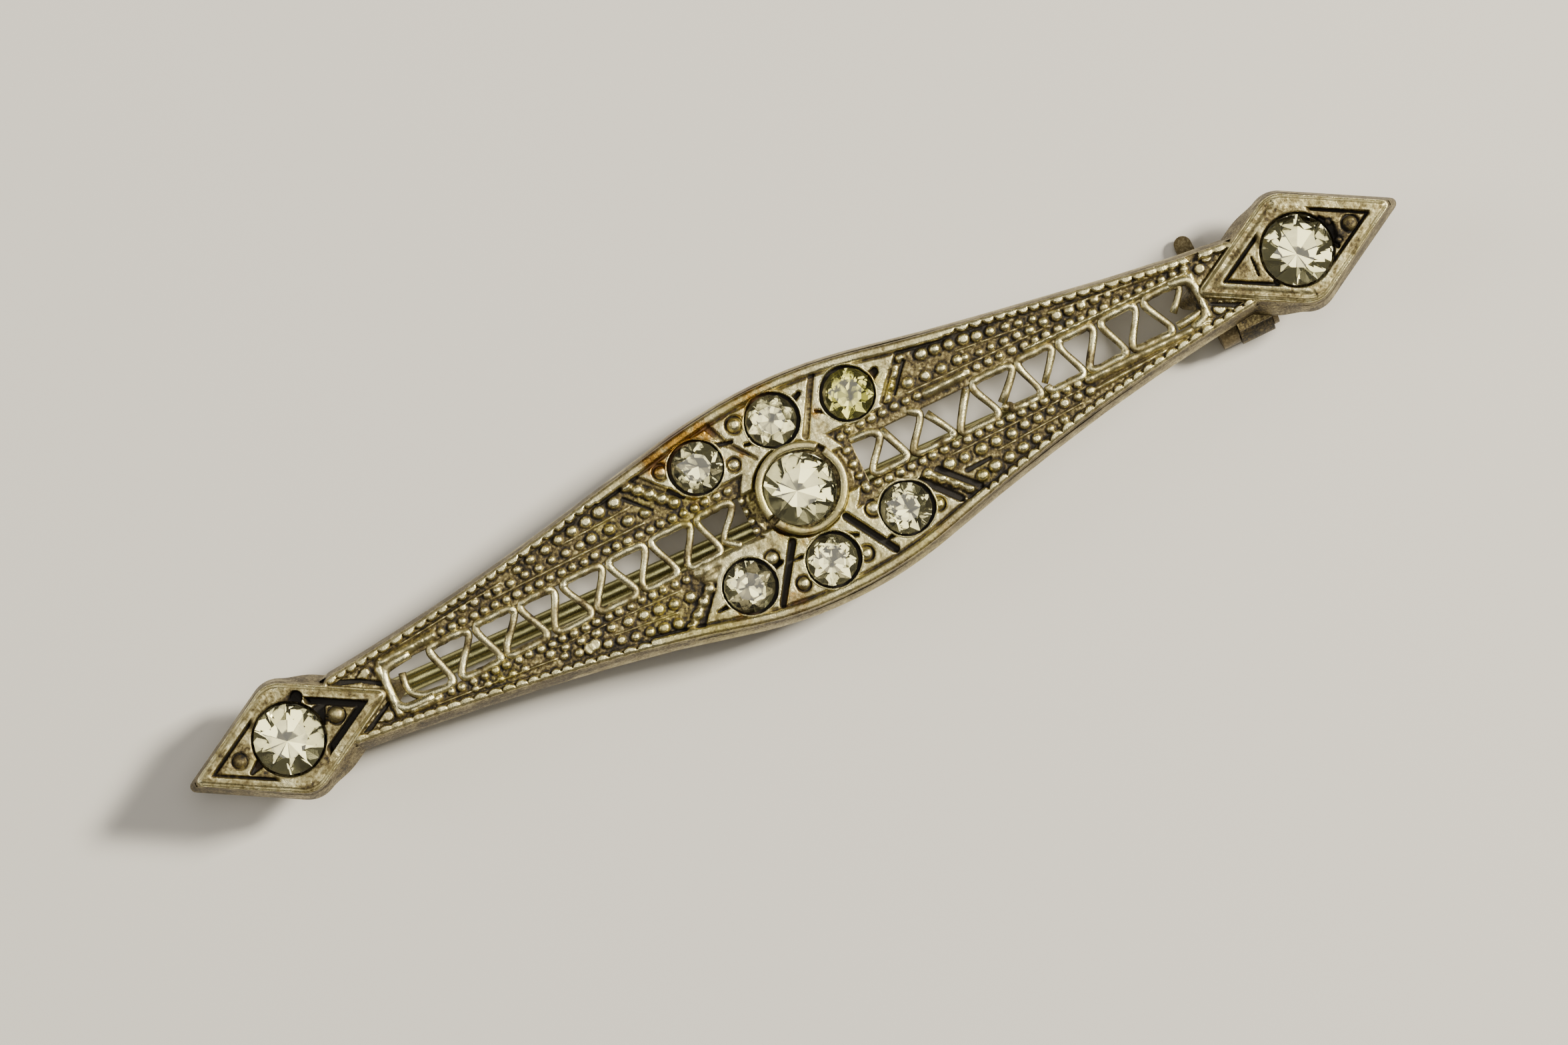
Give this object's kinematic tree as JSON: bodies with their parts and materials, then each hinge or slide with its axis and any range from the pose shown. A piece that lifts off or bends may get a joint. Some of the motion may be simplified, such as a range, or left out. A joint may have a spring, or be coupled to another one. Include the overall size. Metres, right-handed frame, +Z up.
{
  "type": "bar brooch",
  "caption": "Pierced cast bar brooch with lozenge ends, wire lattice windows, set stones, a hinged pin stem and a turning safety catch.",
  "frame": {"origin": "on the surface that the brooch lies on, under the middle of its length and width", "axes": "+X along the bar toward the catch, +Y across it toward the lever tab's side, +Z up through the face"},
  "size_m": [0.06, 0.0108, 0.0055],
  "materials": {
    "cast_metal": "aged silver-toned cast metal, dark in its recesses",
    "stone": "foil-backed cut glass",
    "stone_stained": "foil-backed cut glass with a yellow-green stain",
    "pin_brass": "polished wire with a green-gold tone",
    "rivet": "dull",
    "catch_brass": "dull with worn edges"
  },
  "bodies": {
    "brooch": {"bar": "cast_metal", "stone_centre": "stone", "stone_hinge_end": "stone", "stone_catch_end": "stone", "stone_upper_left": "stone", "stone_upper_middle": "stone", "stone_upper_right": "stone_stained", "stone_lower_left": "stone", "stone_lower_middle": "stone", "stone_lower_right": "stone", "hinge_rivet": "rivet"},
    "pin": {"pin_stem": "pin_brass"},
    "catch": {"catch_lever": "catch_brass"}
  },
  "joints": [
    {"name": "pin_hinge", "type": "hinge", "parent": "brooch", "child": "pin", "pos_m": [-0.0224, 0.00022, 0.00138], "axis": [0, 1, 0], "range_deg": [0, 80]},
    {"name": "catch_turn", "type": "hinge", "parent": "brooch", "child": "catch", "pos_m": [0.0221, -0.0011, 0.00138], "axis": [-1, 0, 0], "range_deg": [0, 90]}
  ]
}
